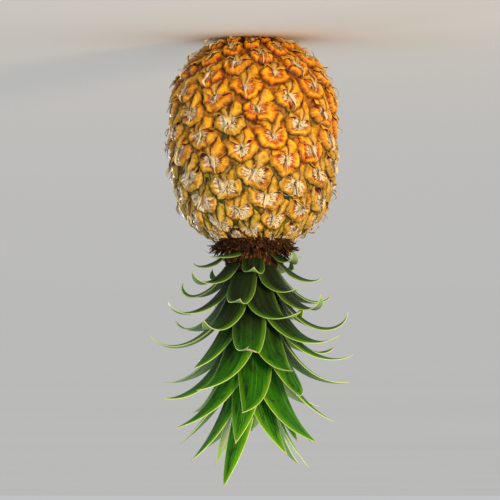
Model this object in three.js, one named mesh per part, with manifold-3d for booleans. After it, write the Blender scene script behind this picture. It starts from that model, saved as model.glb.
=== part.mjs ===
// A pineapple standing on its base, with its crown of leaves.
// Millimetres, +Z up. The origin is the middle of the base, and the front faces -Y.
import * as THREE from "three";
import { ConvexGeometry } from "three/addons/geometries/ConvexGeometry.js";
import { mergeVertices } from "three/addons/utils/BufferGeometryUtils.js";
import Module from "manifold-3d";

const wasm = await Module();
wasm.setup();

// The barrel of the fruit, measured over the tops of the eyes.
const FRUIT_HEIGHT = 143;
const FRUIT_RADIUS = 59.4;
const WIDEST_HEIGHT = 52;
const SHOULDER_REACH = 95; // from the widest height to where the shoulder would close
const SHOULDER_SQUARENESS = 4;
const SHOULDER_ROUNDNESS = 2.4;
const BASE_REACH = 55;

// The spiral on which the eyes sit, as turn and climb from one eye to the next.
const EYE_TURN = THREE.MathUtils.degToRad(137.74);
const EYE_FIRST_TURN = THREE.MathUtils.degToRad(255.6);
const EYE_CLIMB = 1.327;
const EYE_FIRST_CLIMB = 3.4;
const EYE_COUNT = 129;
const EYE_LEAN_SIDE = -0.068; // the fruit grew a little crooked, so its rows of eyes lean
const EYE_LEAN_FRONT = -0.027;

// The two rows that cross at each eye, as steps from eye to eye and whole turns round the fruit.
const SHALLOW_ROW = { step: 8, turns: 3 };
const STEEP_ROW = { step: 13, turns: 5 };

// The relief of one eye along either row, from the groove before it, as share and height.
const EYE_STATIONS = [-0.5, -0.33, 0.33];
const EYE_HEIGHTS = [-3.6, -0.25, -0.25];
const EYE_PEAK = 0.7;
const SKIN_ROWS_BELOW = 24; // eyes that would sit below the base, so that the skin runs past it
const SKIN_ROWS_ABOVE = 24;
const BRACT_HALF_WIDTH = 8;
const BRACT_FOOT = -7.5;
const BRACT_TIP = 6;
const BRACT_TIP_HEIGHT = 2.2;

// The cut stalk in the base, and the plug of the crown in the top of the fruit.
const STALK_RADIUS = 13;
const STALK_HEIGHT = 12;
const PLUG_RADIUS = 9;
const PLUG_DEPTH = 8;
const ROUND_SIDES = 24;
const CLEARANCE = 0.3;

// The stem of the crown, in heights over its seat on the fruit.
const NECK_RADIUS = 26.5;
const NECK_TOP_RADIUS = 23;
const NECK_HEIGHT = 5.5;
const STEM_FOOT_RADIUS = 19.5;
const STEM_TOP_RADIUS = 5;
const STEM_HEIGHT = 74;
const BUD_HEIGHT = 8;
const SCALE_COUNT = 34;
const SCALE_LENGTH = 10;
const SCALE_HALF_WIDTH = 6;

// The leaves, from the lowest, 0, to the innermost. The pairs are leaf number and value.
const LEAF_COUNT = 56;
const LEAF_TURN = THREE.MathUtils.degToRad(137.5);
const LEAF_FIRST_TURN = THREE.MathUtils.degToRad(32.5);
const LEAF_FOOT_HEIGHT = 7.5;
const LEAF_CLIMB = 1.2;
const LEAF_LENGTH = [[0, 17], [6, 35], [14, 53], [26, 78], [38, 93], [46, 97], [55, 106]];
const LEAF_START_LEAN = [[0, 62], [10, 42], [22, 30], [40, 17], [55, 9]]; // degrees from upright
const LEAF_END_LEAN = [[0, 102], [8, 116], [26, 112], [38, 90], [46, 62], [55, 40]];
const LEAF_TIP_HOOK = [[0, 50], [13, 50], [19, 25], [30, 0], [55, -5]];
const LEAF_ARCH = 2;
const LEAF_HOOK_SHARPNESS = 7;
const LEAF_HALF_WIDTH = [[0, 7], [6, 9], [14, 11.5], [26, 13], [40, 14], [48, 13], [55, 11.5]];
const LEAF_WIDEST_TURN = THREE.MathUtils.degToRad(39);
const LEAF_CHANNEL = 1.25; // how far the edges stand in, in steps from leaf to leaf
const LEAF_THICK = 1.3;
const LEAF_EDGE_THICK = 0.7;
const LEAF_ROW_LENGTH = 12;
const LEAF_FEWEST_ROWS = 5;
const LEAF_STRIPS = 3;
const LEAF_TIP_HALF_WIDTH = 0.5;

// Leaves that grew away from the rule: the leaf, how many degrees its tip swings to the side, and
// its length as a share of the rule's.
const LEAF_HABITS = [
  [0, 18, 1.15],
  [2, 0, 1.2],
  [5, 4, 1],
  [12, 12, 1.08],
  [13, -17, 0.96],
  [15, 8, 1.05],
  [18, -14, 0.92],
  [20, 0, 1.1],
  [21, -12, 0.95],
  [23, -12, 1.1],
  [24, 0, 1.08],
  [26, -17, 1],
  [29, -10, 0.9],
  [31, -8, 0.94],
  [34, 14, 0.95],
  [36, 16, 0.94],
  [37, -18, 0.97],
  [39, 13, 1],
  [41, 0, 0.95],
  [42, 15, 1],
  [44, -14, 1.12],
  [45, 0, 1.05],
  [47, 10, 0.97],
  [48, -18, 0.96],
  [49, 10, 0.85],
  [50, -20, 1],
  [51, 10, 0.96],
  [52, -18, 0.82],
  [53, 0, 0.93],
  [54, 14, 0.9],
];

// A number from 0 to 1 that is always the same for the same two whole numbers.
function draw(index, kind) {
  const wave = Math.sin(index * 12.9898 + kind * 78.233) * 43758.5453;
  return wave - Math.floor(wave);
}

// The value at a place between the stations of a list of pairs.
function ramp(stations, place) {
  for (let i = 1; i < stations.length - 1; i += 1) {
    if (place < stations[i][0]) return between(stations[i - 1], stations[i], place);
  }
  return between(stations.at(-2), stations.at(-1), place);
}

function between(low, high, place) {
  return THREE.MathUtils.mapLinear(place, low[0], high[0], low[1], high[1]);
}

// A point at a turn round the axis, where no turn faces the front.
function around(radius, turn, height) {
  return new THREE.Vector3(radius * Math.sin(turn), -radius * Math.cos(turn), height);
}

// The solid of a closed geometry, and the geometry of a solid.
function solidOf(geometry) {
  const plain = geometry.clone();
  plain.deleteAttribute("normal");
  plain.deleteAttribute("uv");
  const merged = mergeVertices(plain, 1e-4);
  return new wasm.Manifold(
    new wasm.Mesh({
      numProp: 3,
      vertProperties: merged.attributes.position.array,
      triVerts: new Uint32Array(merged.index.array),
    }),
  );
}

function geometryOf(solid) {
  const mesh = solid.getMesh();
  const geometry = new THREE.BufferGeometry();
  geometry.setAttribute("position", new THREE.BufferAttribute(mesh.vertProperties, 3));
  geometry.setIndex(new THREE.BufferAttribute(mesh.triVerts, 1));
  return geometry;
}

// Joins many solids in pairs, then the pairs in pairs, which is faster than one after another.
function joined(solids) {
  let round = solids;
  while (round.length > 1) {
    const next = [];
    for (let i = 0; i < round.length; i += 2) {
      next.push(i + 1 < round.length ? round[i].add(round[i + 1]) : round[i]);
    }
    round = next;
  }
  return round[0];
}

// A solid turned from a profile of radius and height pairs, with +Z as its axis.
function turned(profile, sides = ROUND_SIDES) {
  const points = profile.map(([radius, height]) => new THREE.Vector2(radius, height));
  return new THREE.LatheGeometry(points, sides).rotateX(Math.PI / 2);
}

function meshOf(name, geometry, material) {
  const mesh = new THREE.Mesh(geometry, material);
  mesh.name = name;
  return mesh;
}

// The radius of the barrel over the tops of the eyes.
function barrelRadius(height) {
  if (height > WIDEST_HEIGHT) {
    const rise = (height - WIDEST_HEIGHT) / SHOULDER_REACH;
    return FRUIT_RADIUS * (1 - rise ** SHOULDER_SQUARENESS) ** (1 / SHOULDER_ROUNDNESS);
  }
  const drop = (WIDEST_HEIGHT - height) / BASE_REACH;
  return FRUIT_RADIUS * Math.sqrt(1 - drop * drop);
}

// The meridian of the barrel as points at even steps of height, each with its run along the skin.
function barrelMeridian() {
  const steps = 1200;
  const points = [];
  for (let i = 0; i <= steps; i += 1) {
    const height = (FRUIT_HEIGHT * i) / steps;
    const radius = barrelRadius(height);
    const last = points.at(-1);
    const run = last ? last.run + Math.hypot(height - last.height, radius - last.radius) : 0;
    points.push({ height, radius, run });
  }
  return points;
}

const MERIDIAN = barrelMeridian();

// The place on the meridian at a run from the base, with the direction that points out of the skin.
// Past either end the skin goes straight on, where it is cut off later.
function onMeridian(run) {
  const first = MERIDIAN[0];
  const last = MERIDIAN.at(-1);
  if (run < 0) return { radius: first.radius, height: run, outward: 1, upward: 0 };
  if (run > last.run) {
    return { radius: last.radius, height: last.height + run - last.run, outward: 1, upward: 0 };
  }
  let low = 0;
  let high = MERIDIAN.length - 1;
  while (high - low > 1) {
    const middle = (low + high) >> 1;
    if (MERIDIAN[middle].run > run) high = middle;
    else low = middle;
  }
  const a = MERIDIAN[low];
  const b = MERIDIAN[high];
  const share = (run - a.run) / (b.run - a.run);
  const length = Math.hypot(b.height - a.height, b.radius - a.radius);
  return {
    radius: THREE.MathUtils.lerp(a.radius, b.radius, share),
    height: THREE.MathUtils.lerp(a.height, b.height, share),
    outward: (b.height - a.height) / length,
    upward: (a.radius - b.radius) / length,
  };
}

// A point of the skin: an eye's number, shares of the way to the next eye along both rows, and a
// distance across and along the skin and over it.
function skinPoint(index, shallow, steep, height, across = 0, along = 0) {
  const steps = index + SHALLOW_ROW.step * shallow + STEEP_ROW.step * steep;
  const wholeTurns = SHALLOW_ROW.turns * shallow + STEEP_ROW.turns * steep;
  const turn = EYE_FIRST_TURN + EYE_TURN * steps - 2 * Math.PI * wholeTurns;
  const run = EYE_FIRST_CLIMB + EYE_CLIMB * steps;
  const { radius } = onMeridian(run);
  const lean = radius * (EYE_LEAN_SIDE * Math.sin(turn) + EYE_LEAN_FRONT * Math.cos(turn));
  const at = onMeridian(run + lean + along);
  return around(
    at.radius + at.outward * height,
    turn + across / at.radius,
    at.height + at.upward * height,
  );
}

// The skin as a net of small faces that follows both rows of eyes round the fruit. Each eye is a
// patch of it, raised between grooves. The net runs past both ends and closes in a point there.
function eyeSkin() {
  const side = EYE_STATIONS.length;
  const middle = 1;
  const first = -SKIN_ROWS_BELOW;
  const last = EYE_COUNT + SKIN_ROWS_ABOVE;
  const numbers = new Map();
  const positions = [];
  const edges = new Map();
  const faces = [];

  function addPoint(point) {
    positions.push(...point.toArray());
    return positions.length / 3 - 1;
  }

  // The number of a net point. Stations past the end of an eye belong to the next one in the row.
  function pointNumber(eye, i, j) {
    const owner = eye + SHALLOW_ROW.step * Math.floor(i / side) + STEEP_ROW.step * Math.floor(j / side);
    const column = i % side;
    const row = j % side;
    const key = (owner * side + column) * side + row;
    if (!numbers.has(key)) {
      const height = Math.max(EYE_HEIGHTS[column] + EYE_HEIGHTS[row], EYE_HEIGHTS[0]);
      numbers.set(key, addPoint(skinPoint(owner, EYE_STATIONS[column], EYE_STATIONS[row], height)));
    }
    return numbers.get(key);
  }

  function addFace(a, b, c) {
    faces.push(a, b, c);
    for (const [from, to] of [[a, b], [b, c], [c, a]]) {
      if (!edges.delete(to + "," + from)) edges.set(from + "," + to, [from, to]);
    }
  }

  for (let eye = first; eye < last; eye += 1) {
    for (let i = 0; i < side; i += 1) {
      for (let j = 0; j < side; j += 1) {
        const a = pointNumber(eye, i, j);
        const b = pointNumber(eye, i + 1, j);
        const c = pointNumber(eye, i + 1, j + 1);
        const d = pointNumber(eye, i, j + 1);
        if (i === middle && j === middle) {
          const peak = addPoint(skinPoint(eye, 0, 0, EYE_PEAK));
          addFace(a, b, peak);
          addFace(b, c, peak);
          addFace(c, d, peak);
          addFace(d, a, peak);
        } else if (i < middle === j < middle) {
          addFace(a, b, c);
          addFace(a, c, d);
        } else {
          addFace(a, b, d);
          addFace(b, c, d);
        }
      }
    }
  }
  const ends = [-FRUIT_HEIGHT, 2 * FRUIT_HEIGHT].map((height) => addPoint(around(0, 0, height)));
  for (const [from, to] of [...edges.values()]) {
    const end = positions[3 * from + 2] < FRUIT_HEIGHT / 2 ? ends[0] : ends[1];
    faces.push(to, from, end);
  }
  const geometry = new THREE.BufferGeometry();
  geometry.setAttribute("position", new THREE.Float32BufferAttribute(positions, 3));
  geometry.setIndex(faces);
  return geometry;
}

// The papery bract of an eye: a broad foot, a ridge, and a tongue whose tip stands off the skin.
function eyeBract(index) {
  const tip = BRACT_TIP + 2 * (draw(index, 1) - 0.5);
  const lift = BRACT_TIP_HEIGHT + 1.6 * (draw(index, 2) - 0.5);
  const side = 2 * (draw(index, 3) - 0.5);
  const point = (across, along, height) => skinPoint(index, 0, 0, height, across, along);
  return new ConvexGeometry([
    point(-BRACT_HALF_WIDTH, BRACT_FOOT, -2.2),
    point(BRACT_HALF_WIDTH, BRACT_FOOT, -2.2),
    point(0, BRACT_FOOT * 0.6, 1.6),
    point(side, tip, lift),
    point(0, 0, -2.6),
  ]);
}

// A cylinder between two heights.
function post(radius, low, high) {
  return turned([[0, low], [radius, low], [radius, high], [0, high]]);
}

function buildFruit() {
  const bracts = [];
  for (let index = 0; index < EYE_COUNT; index += 1) bracts.push(solidOf(eyeBract(index)));
  const slab = new THREE.BoxGeometry(4 * FRUIT_RADIUS, 4 * FRUIT_RADIUS, FRUIT_HEIGHT);
  slab.translate(0, 0, FRUIT_HEIGHT / 2);
  const stalkHole = post(STALK_RADIUS + CLEARANCE, -1, STALK_HEIGHT + CLEARANCE);
  const plugHole = post(PLUG_RADIUS + CLEARANCE, FRUIT_HEIGHT - PLUG_DEPTH, FRUIT_HEIGHT + 1);
  const whole = joined([solidOf(eyeSkin()), ...bracts])
    .intersect(solidOf(slab))
    .subtract(solidOf(stalkHole))
    .subtract(solidOf(plugHole));
  const bodies = whole.decompose().sort((a, b) => b.volume() - a.volume());
  const material = new THREE.MeshStandardMaterial({ color: 0xc9772a, roughness: 0.5 });
  return meshOf("fruit", geometryOf(bodies[0]), material);
}

// The cut stump of the stalk, flush with the base of the fruit.
function buildStalk() {
  const bevel = 0.8;
  const profile = [
    [0, 0],
    [STALK_RADIUS, 0],
    [STALK_RADIUS, STALK_HEIGHT - bevel],
    [STALK_RADIUS - bevel, STALK_HEIGHT],
    [0, STALK_HEIGHT],
  ];
  const material = new THREE.MeshStandardMaterial({ color: 0xb79a6b, roughness: 0.9 });
  return meshOf("stalk", turned(profile), material);
}

// The radius of the crown's stem at a height over its seat.
function stemRadius(height) {
  return THREE.MathUtils.mapLinear(height, NECK_HEIGHT, STEM_HEIGHT, STEM_FOOT_RADIUS, STEM_TOP_RADIUS);
}

// One withered scale leaf of the neck, lying against it and pointing up and out.
function neckScale(index) {
  const turn = LEAF_TURN * index + 0.4 * (draw(index, 4) - 0.5);
  const share = (index + 0.5) / SCALE_COUNT;
  const rise = (NECK_HEIGHT - 1.2) * share + 0.3;
  const radius = THREE.MathUtils.lerp(NECK_RADIUS, NECK_TOP_RADIUS, share);
  const reach = radius + 1.5 + SCALE_LENGTH * (1 - 0.5 * share) * (0.25 + 0.4 * draw(index, 5));
  const lift = rise + 2.5 + 3.5 * draw(index, 6);
  const point = (far, across, height) => around(far, turn + across / far, height);
  return new ConvexGeometry([
    point(radius - 3, -SCALE_HALF_WIDTH, rise + 0.3),
    point(radius - 3, SCALE_HALF_WIDTH, rise + 0.3),
    point(radius + 1.2, 0, rise),
    point(radius - 4, 0, rise + 2.5),
    point(reach, 0.7, lift),
  ]);
}

function buildCrownStem() {
  const axis = turned([
    [0, -PLUG_DEPTH],
    [PLUG_RADIUS, -PLUG_DEPTH],
    [PLUG_RADIUS, 0],
    [NECK_RADIUS, 0],
    [NECK_TOP_RADIUS, NECK_HEIGHT],
    [STEM_FOOT_RADIUS, NECK_HEIGHT],
    [STEM_TOP_RADIUS, STEM_HEIGHT],
    [0, STEM_HEIGHT + BUD_HEIGHT],
  ]);
  const pieces = [solidOf(axis)];
  for (let index = 0; index < SCALE_COUNT; index += 1) pieces.push(solidOf(neckScale(index)));
  const material = new THREE.MeshStandardMaterial({ color: 0x7c6236, roughness: 0.9 });
  return meshOf("crown_stem", geometryOf(joined(pieces)), material);
}

// The side view of a leaf at a place in the order of leaves, which may lie between two of them.
// It is walked from the stem outwards, to the share t of the leaf's length.
function leafSpine(order, length, t) {
  const foot = LEAF_FOOT_HEIGHT + LEAF_CLIMB * order;
  const startLean = THREE.MathUtils.degToRad(ramp(LEAF_START_LEAN, order));
  const endLean = THREE.MathUtils.degToRad(ramp(LEAF_END_LEAN, order));
  const hook = THREE.MathUtils.degToRad(ramp(LEAF_TIP_HOOK, order));
  const ownLength = ramp(LEAF_LENGTH, order);
  const steps = 24;
  const step = (length * t) / steps;
  let radius = stemRadius(foot) + CLEARANCE + LEAF_THICK / 2 + 0.5;
  let height = foot;
  for (let i = 0; i < steps; i += 1) {
    const share = ((i + 0.5) * step) / ownLength;
    const arch = (endLean - startLean) * share ** LEAF_ARCH;
    const lean = startLean + arch + hook * share ** LEAF_HOOK_SHARPNESS;
    radius += Math.sin(lean) * step;
    height += Math.cos(lean) * step;
  }
  return { radius, height };
}

// The half width of a leaf along its length: a firm foot, an even blade and an acute tip.
function leafHalfWidth(index, t) {
  const foot = THREE.MathUtils.lerp(0.82, 1, Math.min(1, t / 0.35));
  const point = 1 - t ** 2.7;
  return ramp(LEAF_HALF_WIDTH, index) * foot * point;
}

// A point of the middle surface of a leaf, where side runs from -1 to 1 across it.
// Each edge stands in towards the leaves above, and two leaves that overlap are at least
// three steps apart, so no leaf can cross another.
function leafPoint(index, t, side) {
  const [, swing, stretch] = LEAF_HABITS.find(([leaf]) => leaf === index) ?? [index, 0, 1];
  const length = ramp(LEAF_LENGTH, index) * stretch * (0.94 + 0.12 * draw(index, 7));
  const widest = ramp(LEAF_HALF_WIDTH, index);
  const half = leafHalfWidth(index, t);
  const opening = THREE.MathUtils.lerp(0.3, 1, Math.min(1, t / 0.35));
  const channel = LEAF_CHANNEL * opening * (half / widest) ** 2 * side * side;
  const twist = 1.6 * (draw(index, 8) - 0.5) * t * (half / widest) * side;
  const droop = 2.4 * (draw(index, 9) - 0.5) * t * t;
  const sway = THREE.MathUtils.degToRad(swing + 20 * (draw(index, 10) - 0.5)) * t * t;
  const { radius, height } = leafSpine(index + channel + twist + droop, length, t);
  const reach = Math.min(Math.max(half, LEAF_TIP_HALF_WIDTH) / radius, LEAF_WIDEST_TURN);
  return around(radius, sway + reach * side, height);
}

// The direction square to a leaf's middle surface, pointing away from the stem.
function leafOutward(index, t, side) {
  const small = 0.02;
  const before = Math.max(0, t - small);
  const along = leafPoint(index, t + small, side).sub(leafPoint(index, before, side));
  const across = leafPoint(index, t, side + small).sub(leafPoint(index, t, side - small));
  return across.cross(along).normalize();
}

function leafThickness(t, side) {
  const middle = THREE.MathUtils.lerp(LEAF_THICK, LEAF_EDGE_THICK, Math.max(t, side * side) ** 2);
  return middle;
}

// One leaf as a closed blade: its outer face, its inner face, and the walls round its edge.
function leafGeometry(index) {
  const rows = Math.max(Math.round(ramp(LEAF_LENGTH, index) / LEAF_ROW_LENGTH), LEAF_FEWEST_ROWS);
  const outer = [];
  const inner = [];
  for (let row = 0; row <= rows; row += 1) {
    const t = (row / rows) ** 0.85;
    for (let column = 0; column <= LEAF_STRIPS; column += 1) {
      const side = (2 * column) / LEAF_STRIPS - 1;
      const middle = leafPoint(index, t, side);
      const outward = leafOutward(index, Math.min(t, 0.97), side);
      const half = leafThickness(t, side) / 2;
      outer.push(middle.clone().addScaledVector(outward, half));
      inner.push(middle.clone().addScaledVector(outward, -half));
    }
  }
  return bladeOf(outer, inner, rows);
}

// Both faces are split into triangles alike, so that they can't cross.
function bladeOf(outer, inner, rows) {
  const wide = LEAF_STRIPS + 1;
  const behind = outer.length;
  const faces = [];
  const addQuad = (a, b, c, d) => faces.push(a, b, c, a, c, d);
  for (let row = 0; row < rows; row += 1) {
    for (let column = 0; column < LEAF_STRIPS; column += 1) {
      const a = row * wide + column;
      const b = a + behind;
      addQuad(a, a + 1, a + 1 + wide, a + wide);
      faces.push(b, b + 1 + wide, b + 1, b, b + wide, b + 1 + wide);
    }
    const left = row * wide;
    const right = left + LEAF_STRIPS;
    addQuad(left, left + wide, left + wide + behind, left + behind);
    addQuad(right, right + behind, right + wide + behind, right + wide);
  }
  for (let column = 0; column < LEAF_STRIPS; column += 1) {
    const top = rows * wide + column;
    addQuad(column, column + behind, column + 1 + behind, column + 1);
    addQuad(top, top + 1, top + 1 + behind, top + behind);
  }
  const geometry = new THREE.BufferGeometry();
  const positions = [...outer, ...inner].flatMap((point) => point.toArray());
  geometry.setAttribute("position", new THREE.Float32BufferAttribute(positions, 3));
  geometry.setIndex(faces);
  return geometry;
}

function buildLeaf(index, material) {
  const name = "leaf_" + String(index + 1).padStart(2, "0");
  const leaf = meshOf(name, leafGeometry(index), material);
  leaf.rotation.z = LEAF_FIRST_TURN + LEAF_TURN * index;
  return leaf;
}

function buildCrown() {
  const crown = new THREE.Group();
  crown.position.z = FRUIT_HEIGHT + CLEARANCE;
  crown.add(buildCrownStem());
  const material = new THREE.MeshStandardMaterial({ color: 0x5f8a2e, roughness: 0.45 });
  for (let index = 0; index < LEAF_COUNT; index += 1) crown.add(buildLeaf(index, material));
  return crown;
}

const pineapple = new THREE.Group();
pineapple.add(buildFruit(), buildStalk(), buildCrown());

export default pineapple;
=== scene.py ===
import math

import bmesh
import bpy
import numpy as np
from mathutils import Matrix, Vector


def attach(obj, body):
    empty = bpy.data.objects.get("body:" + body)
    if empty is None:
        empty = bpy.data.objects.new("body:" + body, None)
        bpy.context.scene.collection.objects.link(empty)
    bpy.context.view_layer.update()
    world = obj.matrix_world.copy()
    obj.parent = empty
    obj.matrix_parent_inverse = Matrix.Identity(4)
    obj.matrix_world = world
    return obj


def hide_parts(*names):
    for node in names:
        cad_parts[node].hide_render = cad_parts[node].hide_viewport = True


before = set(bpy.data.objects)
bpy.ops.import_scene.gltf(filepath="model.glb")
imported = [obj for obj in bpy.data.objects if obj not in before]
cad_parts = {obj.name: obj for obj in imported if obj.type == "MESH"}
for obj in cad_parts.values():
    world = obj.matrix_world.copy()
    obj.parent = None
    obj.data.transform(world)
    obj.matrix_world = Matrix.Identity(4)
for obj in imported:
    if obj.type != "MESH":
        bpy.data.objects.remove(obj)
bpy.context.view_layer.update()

# The rind of the fruit: about 130 ripened flowers grown together, each now a hard eye that stands
# up between grooves. It is waxy plant skin that grew on the flesh, along two crossing spirals.
MM = 0.001
FRUIT_HEIGHT = 143.0
FRUIT_RADIUS = 59.4
WIDEST_HEIGHT = 52.0
SHOULDER_REACH = 95.0
SHOULDER_SQUARENESS = 4.0
SHOULDER_ROUNDNESS = 2.4
BASE_REACH = 55.0
EYE_TURN = math.radians(137.74)
EYE_FIRST_TURN = math.radians(255.6)
EYE_CLIMB = 1.327
EYE_FIRST_CLIMB = 3.4
EYE_COUNT = 129
EYE_LEAN = (-0.068, -0.027)
SHALLOW_STEP, SHALLOW_TURNS = 8, 3
STEEP_STEP, STEEP_TURNS = 13, 5
EYES_PAST_END = 24
EYE_CELLS = 32  # faces of the net across one eye
GROOVE_DEPTH = 3.0
DISC_HALF_WIDTH = 12.4
DISC_HALF_HEIGHT = 9.6
RIM_SCALLOPS = 12
SCALLOP_DEPTH = 0.022  # as a share of the disc's half size
LOBE_BEARINGS = (-1.5, -0.55, 0.45, 1.45)
EYE_TILT = 0.34  # radians from the eye that leans most to one side to that on the other
DISC_HEIGHT = 1.9  # over the bottom of the grooves, and the lobes stand on it
LOBE_HEIGHT = 2.2
MIDDLE_DIP = 0.9
SLIT_DEPTH = 1.3
ROW_WAVER = 0.8  # mm up and down, and the next in radians round the fruit
ROW_WAVER_ROUND = 0.014
ROW_WAVER_LENGTH = 48.0
SKIN_UNEVENNESS = 0.14
SKIN_UNEVENNESS_LENGTH = 3.5


def draw(index, kind):
    """A number from 0 to 1 that is always the same for the same two whole numbers."""
    wave = np.sin(index * 12.9898 + kind * 78.233) * 43758.5453
    return wave - np.floor(wave)


def smooth(low, high, value):
    share = np.clip((value - low) / (high - low), 0.0, 1.0)
    return share * share * (3.0 - 2.0 * share)


def bell(value, middle, width):
    return np.exp(-(((value - middle) / width) ** 2))


def waves(points, seed, size):
    """Slow random waves through space, about -1 to 1 high and this many mm long."""
    random = np.random.default_rng(seed)
    total = 0.0
    for _ in range(7):
        direction = random.normal(size=3)
        direction /= np.linalg.norm(direction)
        pace = 2.0 * math.pi / (size * random.uniform(0.6, 1.5))
        total = total + np.sin(points @ direction * pace + random.uniform(0.0, 2.0 * math.pi))
    return total / 3.0


def around(radius, turn, height):
    return np.stack([radius * np.sin(turn), -radius * np.cos(turn), height + 0.0 * turn], axis=-1)


def barrel_radius(height):
    rise = np.clip((height - WIDEST_HEIGHT) / SHOULDER_REACH, 0.0, 1.0)
    drop = np.clip((WIDEST_HEIGHT - height) / BASE_REACH, 0.0, 1.0)
    shoulder = (1.0 - rise**SHOULDER_SQUARENESS) ** (1.0 / SHOULDER_ROUNDNESS)
    return FRUIT_RADIUS * shoulder * np.sqrt(1.0 - drop * drop)


meridian_height = np.linspace(0.0, FRUIT_HEIGHT, 1201)
meridian_radius = barrel_radius(meridian_height)
meridian_steps = np.hypot(np.diff(meridian_height), np.diff(meridian_radius))
meridian_run = np.concatenate([[0.0], np.cumsum(meridian_steps)])
meridian_outward = np.gradient(meridian_height, meridian_run)
meridian_upward = -np.gradient(meridian_radius, meridian_run)


def on_meridian(run):
    """Radius, height and outward direction at a run up the skin, straight on past either end."""
    inside = (run >= 0.0) & (run <= meridian_run[-1])
    past = np.where(run < 0.0, run, np.maximum(run - meridian_run[-1], 0.0))
    radius = np.interp(run, meridian_run, meridian_radius)
    height = np.interp(run, meridian_run, meridian_height) + past
    outward = np.where(inside, np.interp(run, meridian_run, meridian_outward), 1.0)
    upward = np.where(inside, np.interp(run, meridian_run, meridian_upward), 0.0)
    return radius, height, outward, upward


def skin_point(eye, shallow, steep, over):
    """A point over the barrel: an eye's number, shares of the way to the next eye along both
    rows, and a height over the skin in mm. The rows waver a little, as they do on a real fruit."""
    steps = eye + SHALLOW_STEP * shallow + STEEP_STEP * steep
    whole_turns = SHALLOW_TURNS * shallow + STEEP_TURNS * steep
    turn = EYE_FIRST_TURN + EYE_TURN * steps - 2.0 * math.pi * whole_turns
    run = EYE_FIRST_CLIMB + EYE_CLIMB * steps
    radius = on_meridian(run)[0]
    run = run + radius * (EYE_LEAN[0] * np.sin(turn) + EYE_LEAN[1] * np.cos(turn))
    plain = around(radius, turn, run)
    run = run + ROW_WAVER * waves(plain, 21, ROW_WAVER_LENGTH)
    turn = turn + ROW_WAVER_ROUND * waves(plain, 22, ROW_WAVER_LENGTH)
    radius, height, outward, upward = on_meridian(run)
    return around(radius + outward * over, turn, height + upward * over)


# One step along each row in mm, to the side and up, where the fruit is widest.
SHALLOW_SIDE = FRUIT_RADIUS * (SHALLOW_STEP * EYE_TURN - 2.0 * math.pi * SHALLOW_TURNS)
STEEP_SIDE = FRUIT_RADIUS * (STEEP_STEP * EYE_TURN - 2.0 * math.pi * STEEP_TURNS)
SHALLOW_UP = SHALLOW_STEP * EYE_CLIMB
STEEP_UP = STEEP_STEP * EYE_CLIMB
CELL_AREA = SHALLOW_SIDE * STEEP_UP - STEEP_SIDE * SHALLOW_UP


def place_in_eye(shallow, steep):
    """Millimetres to the side of an eye's middle and up from it, where the fruit is widest."""
    return SHALLOW_SIDE * shallow + STEEP_SIDE * steep, SHALLOW_UP * shallow + STEEP_UP * steep


def shares_at(side, up):
    """The shares along both rows of a place in mm to the side of an eye and up from it."""
    shallow = (side * STEEP_UP - up * STEEP_SIDE) / CELL_AREA
    steep = (up * SHALLOW_SIDE - side * SHALLOW_UP) / CELL_AREA
    return shallow, steep


def puckers(points):
    """Shares along both rows by which the skin is drawn aside, so that no two eyes are alike."""
    side = 0.9 * waves(points, 24, 11.0) + 1.1 * waves(points, 27, 24.0)
    up = 0.8 * waves(points, 25, 9.0) + 0.9 * waves(points, 28, 22.0)
    return shares_at(side, up)


def on_eye(eye, side, up, over):
    """A point at a place in mm to the side of an eye and up from it, and at a height over the
    low skin, drawn aside as the skin is."""
    shallow, steep = shares_at(side, up)
    aside = puckers(skin_point(eye, shallow, steep, 0.0))
    return skin_point(eye, shallow - aside[0], steep - aside[1], over)


def own_turn(eye, side, up, way=1.0):
    """A place turned into an eye's own frame, as no eye stands straight, or with way -1 out of it."""
    turn = way * EYE_TILT * (draw(eye, 43) - 0.5)
    return side * np.cos(turn) - up * np.sin(turn), side * np.sin(turn) + up * np.cos(turn)


def eye_form(eye, side, up):
    """The bearing of a place in an eye, how far out it is, how far inside the scalloped rim, and
    how near it is to the crest of one of the eye's lobes."""
    side, up = own_turn(eye, side, up)
    bearing = np.arctan2(side, up)
    reach = np.hypot(side / DISC_HALF_WIDTH, up / DISC_HALF_HEIGHT)
    # The rim: each eye has its own size and outline, scalloped, and wider towards the crown.
    phase = 2.0 * math.pi * draw(eye, 31)
    edge = 0.90 + 0.12 * draw(eye, 44) + 0.05 * np.sin(3.0 * bearing - phase)
    edge = edge + 0.10 * smooth(45.0, 115.0, eye)
    edge = edge + SCALLOP_DEPTH * np.sin(RIM_SCALLOPS * bearing + phase)
    edge = edge + SCALLOP_DEPTH * np.sin((RIM_SCALLOPS + 7) * bearing - 2.0 * phase)
    lobes = 0.0
    for lobe, middle in enumerate(LOBE_BEARINGS):
        tilt = 0.6 * (draw(eye, 32 + lobe) - 0.5)
        away = np.abs(bearing - middle - tilt) / (0.45 + 0.4 * draw(eye, 45 + lobe))
        round_lobe = np.sqrt(np.clip(1.0 - away**2, 0.0, 1.0))
        lobes = np.maximum(lobes, round_lobe * (0.75 + 0.25 * draw(eye, 37 + lobe)))
    crest = np.maximum(lobes * bell(edge - reach, 0.27, 0.25), 0.42 * smooth(0.75, 0.4, reach))
    return bearing, reach, edge - reach, crest


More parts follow.
